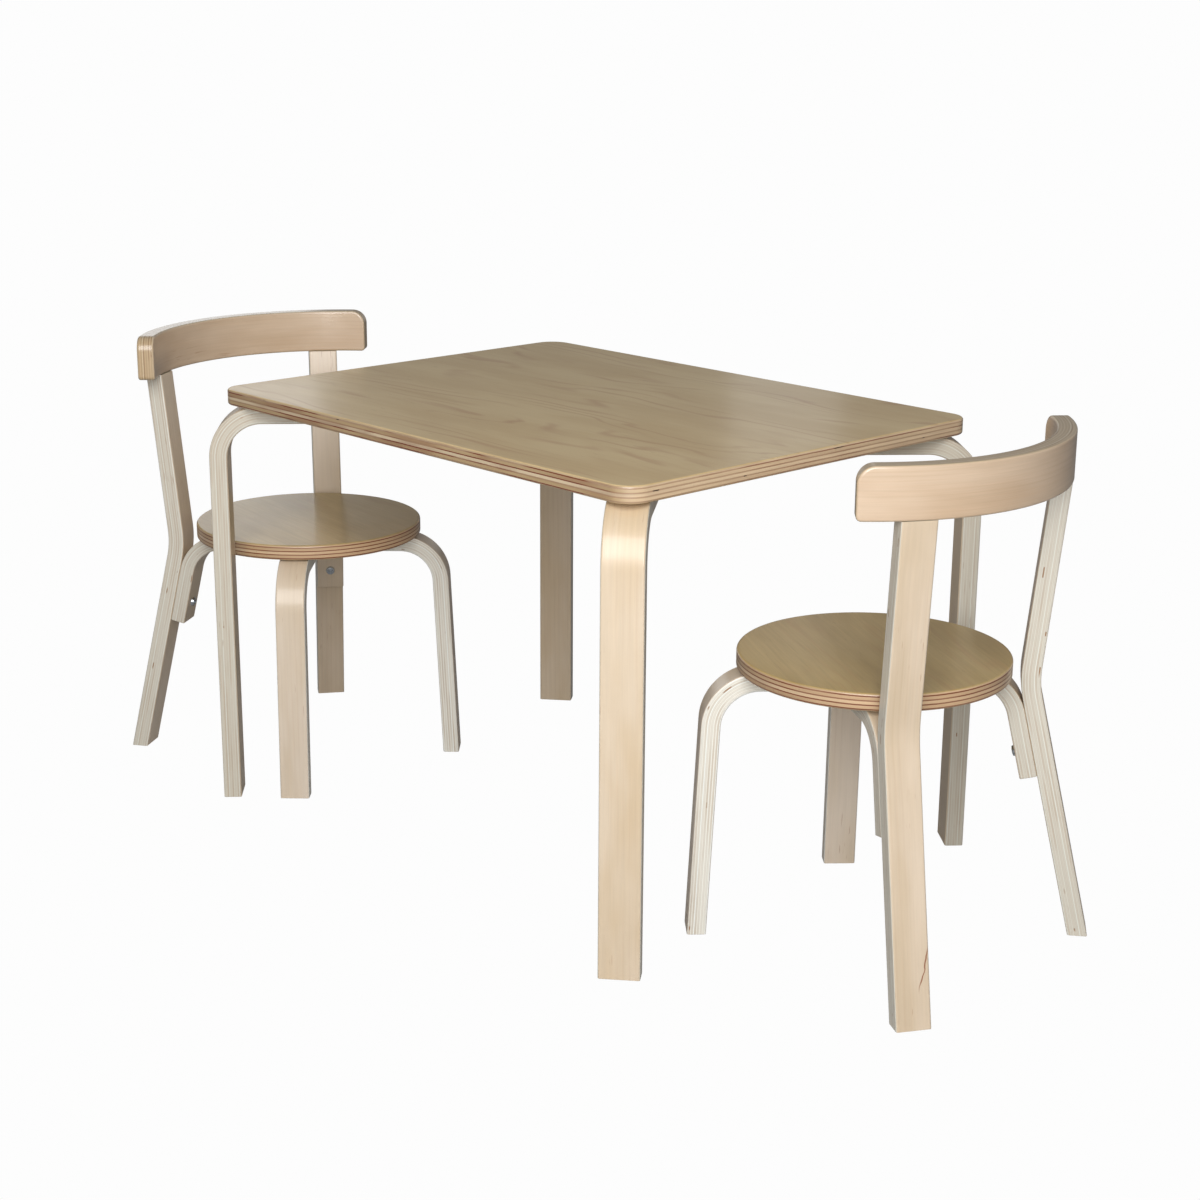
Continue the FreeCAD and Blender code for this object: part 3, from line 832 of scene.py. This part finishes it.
def makeTableLegs():
    underside = tableLow.z
    corners = [Vector((-tableLeg["tail"], underside)), Vector((0, underside)), Vector((0, 0))]
    radii = [tableLeg["innerBend"] + tableLeg["thickness"]]
    number = tableLeg["firstNumber"]
    for depthName, signY in (("front", -1), ("back", 1)):
        for sideName, signX in (("left", -1), ("right", 1)):
            foot, outward = tableFoot(signX, signY)
            turn = Matrix.Translation(foot) @ Matrix.Rotation(atan2(outward.y, outward.x), 4, "Z")
            leg = bentStrip(f"tableLeg{depthName.title()}{sideName.title()}", corners, radii, tableLeg,
                            ("square", "level"), number, turn)
            dress(leg, bentBirch, "table", "bent_birch", f"table_leg_{depthName}_{sideName}")
            number += 1


boltPlaces = (0.085, 0.160)     # along a table leg's tail, from the leg's outer face


def makeTableFasteners():
    heads, bushes = [], []
    for signX in (-1, 1):
        for signY in (-1, 1):
            foot, outward = tableFoot(signX, signY)
            for back in boltPlaces:
                above = foot - outward * back + upward * tableLow.z
                bushes.append((above, upward))
                heads.append((above - upward * tableLeg["thickness"], -upward))
    setOn("tableBolts", crossHead, boltSizes, heads, brightZinc, "table", "zinc_steel", "table_leg_bolts")
    setOn("tableInserts", threadedInsert, insertSizes, bushes, plainZinc, "table", "zinc_insert",
          "table_top_inserts")


makeTableTop()
makeTableLegs()
makeTableFasteners()
print("table built")


# the chairs: made facing +X round the seat's centre, then turned into place

chairs = {
    "left_chair": {"label": "leftChair", "turn": 1.2, "number": 10, "grainTurn": 8.0},
    "right_chair": {"label": "rightChair", "turn": 184.0, "number": 30, "grainTurn": 34.0},
}
sides = (("left", 1), ("right", -1))
seat = {"height": 0.305, "radius": 0.1395, "board": 0.018, "edgeEase": 0.0025, "steps": 144}
seatUnderside = seat["height"] - seat["board"]
chairMember = {"thickness": 0.020, "width": 0.035, "ease": 0.002, "endEase": 0.0008}
frontLeg = {"angle": 45.0, "footOut": 0.047, "splay": 2.6, "tailStart": 0.024, "innerBend": 0.040}
post = {
    "width": 0.036, "endEase": 0.0005,
    "angle": 33.6,          # turn of each post's plane from straight back
    "offset": 0.033,        # of that plane, sideways from the seat's centre
    "footOut": 0.094, "waistOut": 0.0285, "waistBelowSeat": 0.030, "waistBend": 0.100,
}
bracket = {"thickness": 0.018, "drop": 0.113, "tailStart": 0.034, "innerBend": 0.040}
backrest = {
    "thickness": 0.020, "height": 0.052, "aboveSeat": 0.183, "outerRadius": 0.230,
    "centreForward": 0.050, "halfAngle": 50.0, "upperCorner": 0.017, "lowerCorner": 0.005,
    "edgeEase": 0.0025, "overhang": 0.001, "columns": 72, "cornerSteps": 12,
}


def chairPlace(chair):
    low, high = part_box(f"{chair}_seat")
    middle = (low + high) / 2
    return (Matrix.Translation(Vector((middle.x, middle.y, 0)))
            @ Matrix.Rotation(radians(chairs[chair]["turn"]), 4, "Z"))


def makeSeat(chair, place):
    own = chairs[chair]
    outline = arcOutline(Vector((0, 0)), seat["radius"], 0, 360, seat["steps"])[:-1]

    def toSpace(x, y, depth):
        return Vector((x, y, seat["height"] - depth))

    piece = easedSlab(own["label"] + "Seat", outline, seat["board"], seat["edgeEase"], own["number"],
                      toSpace, turn=place, grainTurn=own["grainTurn"])
    dress(piece, seatBirch, chair, "board_birch", f"{chair}_seat")


def makeFrontLegs(chair, place):
    own = chairs[chair]
    foot = seat["radius"] + frontLeg["footOut"]
    shoulder = foot - seatUnderside * tan(radians(frontLeg["splay"]))
    corners = [Vector((frontLeg["tailStart"], seatUnderside)), Vector((shoulder, seatUnderside)),
               Vector((foot, 0))]
    radii = [frontLeg["innerBend"] + chairMember["thickness"]]
    for i, (name, side) in enumerate(sides):
        turn = place @ Matrix.Rotation(radians(side * frontLeg["angle"]), 4, "Z")
        leg = bentStrip(f"{own['label']}Front{name.title()}Leg", corners, radii, chairMember,
                        ("square", "level"), own["number"] + 1 + i, turn)
        dress(leg, paleBirch, chair, "bent_birch", f"{chair}_front_{name}_leg")


def postPlane(side):
    # outward and sideways directions of one post's plane, in the chair's own frame
    angle = radians(180 - post["angle"])
    outward = Vector((cos(angle), side * sin(angle), 0))
    sideways = Vector((sin(angle), -side * cos(angle), 0))
    return outward, sideways * (1 if sideways.y * side > 0 else -1)


def postCorners(side):
    # the outer face: its top inside the backrest, its waist and its foot
    outward, sideways = postPlane(side)
    fromCentre = sideways * post["offset"] - Vector((backrest["centreForward"], 0, 0))
    along = fromCentre.dot(outward)
    reach = backrest["outerRadius"] - backrest["overhang"]
    top = -along + sqrt(along ** 2 - fromCentre.dot(fromCentre) + reach ** 2)
    return [Vector((top, seat["height"] + backrest["aboveSeat"])),
            Vector((seat["radius"] + post["waistOut"], seat["height"] - post["waistBelowSeat"])),
            Vector((seat["radius"] + post["footOut"], 0))]


def bracketCorners(outer):
    # under the seat, then down the inner face of the post's lower run
    downwards = (outer[2] - outer[1]).normalized()
    floorPoint = outer[2] + rightOf(downwards) * chairMember["thickness"]
    floorPoint = floorPoint - downwards * (floorPoint.y / downwards.y)
    shoulder = floorPoint + downwards * (seatUnderside / downwards.y)
    lower = shoulder - downwards * (bracket["drop"] / downwards.y)
    return [Vector((bracket["tailStart"], seatUnderside)), shoulder, lower]


def makePosts(chair, place):
    own = chairs[chair]
    postSize = dict(chairMember, width=post["width"], endEase=post["endEase"])
    bracketSize = dict(chairMember, thickness=bracket["thickness"])
    for i, (name, side) in enumerate(sides):
        outward, sideways = postPlane(side)
        plane = (place @ Matrix.Translation(sideways * post["offset"])
                 @ Matrix.Rotation(atan2(outward.y, outward.x), 4, "Z"))
        outer = postCorners(side)
        number = own["number"] + 3 + 2 * i
        piece = bentStrip(f"{own['label']}{name.title()}Post", outer, [post["waistBend"]], postSize,
                          ("level", "level"), number, plane)
        finish = streakedBirch if (chair, name) == ("right_chair", "left") else postBirch
        dress(piece, finish, chair, "bent_birch", f"{chair}_{name}_post")
        piece = bentStrip(f"{own['label']}{name.title()}Bracket", bracketCorners(outer),
                          [bracket["innerBend"] + bracket["thickness"]], bracketSize, ("square", "square"),
                          number + 1, plane)
        dress(piece, postBirch, chair, "bent_birch", f"{chair}_{name}_bracket")


def backrestOutline(halfLength):
    # lower edge from one end to the other, then back along the upper edge
    height, steps = backrest["height"], backrest["cornerSteps"]

    def edge(radius, level, sign):
        reach = halfLength - radius
        middle = level - sign * radius
        ends = arcOutline(Vector((-reach, middle)), radius, 180, 180 - sign * 90, steps)
        run = [(Vector((-reach + 2 * reach * k / backrest["columns"], level)), Vector((0, sign)))
               for k in range(1, backrest["columns"])]
        return ends + run + arcOutline(Vector((reach, middle)), radius, sign * 90, 0, steps)

    return edge(backrest["lowerCorner"], 0.0, -1) + edge(backrest["upperCorner"], height, 1)[::-1]


def makeBackrest(chair, place):
    own = chairs[chair]
    middleRadius = backrest["outerRadius"] - backrest["thickness"] / 2
    lower = seat["height"] + backrest["aboveSeat"]

    def toSpace(along, height, depth):
        angle = pi + along / middleRadius
        radius = backrest["outerRadius"] - depth
        return Vector((backrest["centreForward"] + radius * cos(angle), radius * sin(angle),
                       lower + height))

    halfLength = radians(backrest["halfAngle"]) * middleRadius
    piece = easedSlab(own["label"] + "Backrest", backrestOutline(halfLength), backrest["thickness"],
                      backrest["edgeEase"], own["number"] + 8, toSpace, ladder=True, turn=place)
    dress(piece, backrestBirch, chair, "bent_birch", f"{chair}_backrest")


seatScrew = {
    "frontPlaces": (0.046, 0.098), "bracketPlaces": (0.048, 0.080), "sunk": 0.0004, "bite": 0.011,
    "sizes": {"Face radius": 0.004, "Under radius": 0.002, "Head height": 0.0024, "Rise": 0.0, "Dome": 0.0,
              "Shank radius": 0.002, "Recess width": 0.0009, "Recess reach": 0.0022, "Recess depth": 0.0012},
}
postBolt = {"up": 0.026, "length": 0.029}
dowel = {"bracketUp": 0.054, "bracketLength": 0.022, "topSpread": 0.017}


def makeChairFasteners(chair, place):
    label = chairs[chair]["label"]
    screws, heads, bushes, pegs, topPegs = [], [], [], [], []

    def addScrews(start, outward, reaches, tailThickness):
        level = upward * (seatUnderside - tailThickness + seatScrew["sunk"])
        screws.extend((start + outward * reach + level, -upward) for reach in reaches)

    for name, side in sides:
        slope = radians(side * frontLeg["angle"])
        outward = Vector((cos(slope), sin(slope), 0))
        addScrews(Vector(), outward, seatScrew["frontPlaces"], chairMember["thickness"])
    for name, side in sides:
        outward, sideways = postPlane(side)
        offset = sideways * post["offset"]
        addScrews(offset, outward, seatScrew["bracketPlaces"], bracket["thickness"])
        outer = postCorners(side)
        shoulder, lower = bracketCorners(outer)[1:]
        run = (lower - shoulder).normalized()
        runDown = outward * run.x + upward * run.y
        through = outward * -run.y + upward * run.x
        lowerEnd = offset + outward * lower.x + upward * lower.y
        joint = lowerEnd - runDown * postBolt["up"]
        heads.append((joint - through * bracket["thickness"], -through))
        bushes.append((joint, through))
        pegs.append((lowerEnd - runDown * dowel["bracketUp"], through))
        lean = (outer[1] - outer[0]).normalized()
        inner = outer[0] + rightOf(lean) * chairMember["thickness"]
        inner = inner - lean * ((inner.y - outer[0].y) / lean.y)
        centre = offset + outward * ((outer[0].x + inner.x) / 2) + upward * outer[0].y
        for shift in (-dowel["topSpread"] / 2, dowel["topSpread"] / 2):
            topPegs.append((centre + sideways * shift, upward))

    shank = chairMember["thickness"] - seatScrew["sunk"] + seatScrew["bite"]
    screwSizes = dict(seatScrew["sizes"], **{"Shank length": shank})
    postBoltSizes = dict(boltSizes, **{"Shank length": postBolt["length"]})
    pegSizes = dict(dowelSizes, Length=dowel["bracketLength"])
    for node, tree, sizes, spots, finish, slot in (
            ("seat_screws", crossHead, screwSizes, screws, brightZinc, "zinc_steel"),
            ("post_bolts", crossHead, postBoltSizes, heads, brightZinc, "zinc_steel"),
            ("post_inserts", threadedInsert, insertSizes, bushes, plainZinc, "zinc_insert"),
            ("bracket_dowels", flutedDowel, pegSizes, pegs, plainBeech, "beech_dowel"),
            ("backrest_dowels", flutedDowel, dowelSizes, topPegs, plainBeech, "beech_dowel")):
        placed = [(place @ spot, place.to_3x3() @ axis) for spot, axis in spots]
        name = label + node.title().replace("_", "")
        setOn(name, tree, sizes, placed, finish, chair, slot, f"{chair}_{node}")


for chair in chairs:
    place = chairPlace(chair)
    makeSeat(chair, place)
    makeFrontLegs(chair, place)
    makePosts(chair, place)
    makeBackrest(chair, place)
    makeChairFasteners(chair, place)
    print(chair, "built")


# floor, light and camera

studio = {
    "floorSize": 60.0, "shown": 0.982,     # floor and backdrop as the camera sees them
    "floorTone": 0.42, "sky": 0.22,        # and as they light the wood
    "floorMottle": (3, 3, 3), "mottleLift": 1.04, "floorRoughness": 0.9,
    "aim": (0.0, 0.0, 0.30),
    # power in watts, bearing from +X and rise in degrees, distance, width and height
    "lights": {
        "key": (78.5, -47.0, 30.5, 3.0, 2.2, 1.85),
        "lowKey": (14.0, -43.5, 9.5, 3.0, 0.6, 0.55),
        "backPanel": (5.8, 163.4, 13.0, 3.2, 1.48, 1.2),
        "backStrip": (0.34, 127.2, 13.0, 2.7, 0.26, 1.2),
    },
}
white = (1, 1, 1, 1)


def makeFloor():
    bpy.ops.mesh.primitive_plane_add(size=studio["floorSize"])
    floor = bpy.context.object
    floor.name = "floor"
    material = bpy.data.materials.new("floorWhite")
    tree = emptied(material)
    place = put(tree, "ShaderNodeTexCoord").outputs["Object"]
    low, high = [(tone, tone, tone, 1) for tone in
                 (studio["floorTone"], studio["floorTone"] * studio["mottleLift"])]
    base = mixed(tree, noise(tree, place, studio["floorMottle"]), low, high)
    shader = put(tree, "ShaderNodeBsdfPrincipled",
                 {"Base Color": base, "Roughness": studio["floorRoughness"]})
    seen = put(tree, "ShaderNodeEmission", {0: white, 1: studio["shown"]})
    path = put(tree, "ShaderNodeLightPath")
    both = put(tree, "ShaderNodeMixShader", {0: path.outputs["Is Camera Ray"], 1: shader.outputs[0],
                                             2: seen.outputs[0]})
    put(tree, "ShaderNodeOutputMaterial", {0: both.outputs[0]})
    floor.data.materials.append(material)


def makeLights():
    aim = Vector(studio["aim"])
    for name, (power, bearing, rise, distance, width, height) in studio["lights"].items():
        data = bpy.data.lights.new(name, "AREA")
        data.shape = "RECTANGLE"
        data.energy, data.size, data.size_y = power, width, height
        light = addObject(name, data)
        level = Vector((cos(radians(bearing)), sin(radians(bearing)), 0))
        direction = level * cos(radians(rise)) + upward * sin(radians(rise))
        light.location = aim + direction * distance
        light.rotation_euler = direction.to_track_quat("Z", "Y").to_euler()


def makeBackdrop():
    # white to the camera, much dimmer as a light
    world = bpy.data.worlds.new("backdrop")
    tree = emptied(world)
    path = put(tree, "ShaderNodeLightPath")
    strength = calc(tree, "MULTIPLY_ADD", path.outputs["Is Camera Ray"], studio["shown"] - studio["sky"],
                    studio["sky"])
    sky = put(tree, "ShaderNodeBackground", {0: white, 1: strength})
    put(tree, "ShaderNodeOutputWorld", {0: sky.outputs[0]})
    bpy.context.scene.world = world
    bpy.context.scene.view_settings.view_transform = "Standard"


cameraPlace = {
    "location": (1.735, -1.6134, 0.9563),
    "pitch": 16.16, "yaw": 46.88, "roll": 0.37, "lens": 64.03, "sensor": 36.0,
}


def makeCamera():
    data = bpy.data.cameras.new("camera")
    data.lens = cameraPlace["lens"]
    data.sensor_width = cameraPlace["sensor"]
    camera = addObject("camera", data)
    turn = (Matrix.Rotation(radians(cameraPlace["yaw"]), 4, "Z")
            @ Matrix.Rotation(radians(90 - cameraPlace["pitch"]), 4, "X")
            @ Matrix.Rotation(radians(cameraPlace["roll"]), 4, "Z"))
    camera.matrix_world = Matrix.Translation(Vector(cameraPlace["location"])) @ turn
    bpy.context.scene.camera = camera


makeFloor()
makeLights()
makeBackdrop()
makeCamera()
print("studio ready")
